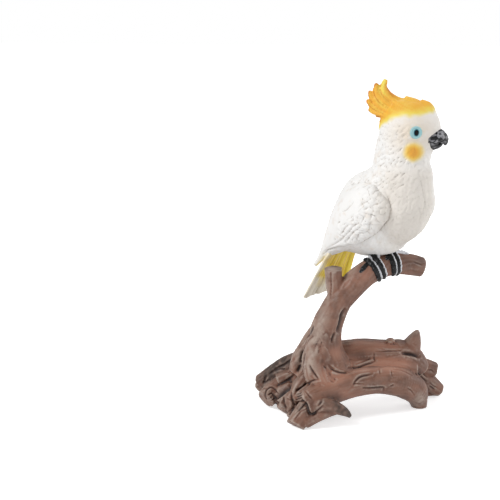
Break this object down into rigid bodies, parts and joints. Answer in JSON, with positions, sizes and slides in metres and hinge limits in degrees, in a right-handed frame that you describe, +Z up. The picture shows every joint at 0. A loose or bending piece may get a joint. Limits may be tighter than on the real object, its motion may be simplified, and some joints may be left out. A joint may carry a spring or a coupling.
{
  "type": "parrot figurine",
  "caption": "Cast figurine of a crested white parrot that grips a forked driftwood branch, whose splayed roots hold it upright on a shelf.",
  "frame": {"origin": "centre of the footprint, on the surface that the driftwood stands on", "axes": "+Z up, -Y towards the side that shows the bird's profile, +X towards the way its beak points"},
  "size_m": [0.1182, 0.0796, 0.1975],
  "materials": {
    "painted_resin": "hand-painted cast polyresin, matte, with a white bird, yellow crest and tail, black beak and feet, and brown driftwood"
  },
  "bodies": {
    "root": {"cockatoo_on_driftwood": "painted_resin"}
  },
  "joints": []
}
